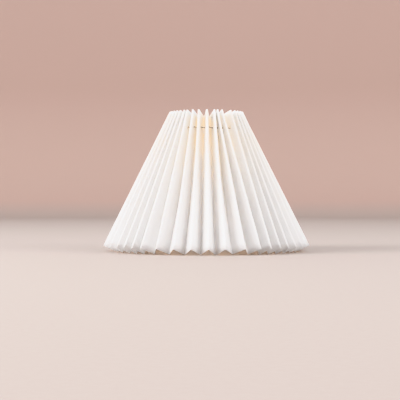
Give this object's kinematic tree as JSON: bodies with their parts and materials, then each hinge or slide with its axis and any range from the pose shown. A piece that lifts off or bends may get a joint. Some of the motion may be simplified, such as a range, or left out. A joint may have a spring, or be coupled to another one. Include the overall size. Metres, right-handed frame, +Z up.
{
  "type": "pleated table lamp shade",
  "caption": "White accordion-pleated cone shade for a table lamp, on a wire frame with a ring fitter and a lift-out reducer for a small lamp holder.",
  "frame": {"origin": "middle of the rim, level with the pleated sheet's lowest tips", "axes": "+Z up along the cone's axis, -Y towards the front, +Y towards the taped seam"},
  "size_m": [0.2503, 0.25, 0.1691],
  "materials": {
    "pleated_sheet": "matte off-white, translucent, fine weave on a thin backing",
    "clear_tape": "double-sided tape, slightly yellow",
    "cotton_string": "twisted, natural",
    "white_wire": "white powder coat",
    "white_plastic": "satin moulded"
  },
  "bodies": {
    "shade": {"pleated_skirt": "pleated_sheet", "seam_tape": "clear_tape", "drawstring": "cotton_string", "lower_ring": "white_wire", "top_ring": "white_wire", "rib_1": "white_wire", "rib_2": "white_wire", "rib_3": "white_wire", "spoke_1": "white_wire", "spoke_2": "white_wire", "spoke_3": "white_wire", "fitter_ring": "white_wire"},
    "reducer": {"reducer_ring": "white_plastic"}
  },
  "joints": [
    {"name": "reducer_lift", "type": "slide", "parent": "shade", "child": "reducer", "axis": [0, 0, 1], "range_m": [0, 0.145]}
  ]
}
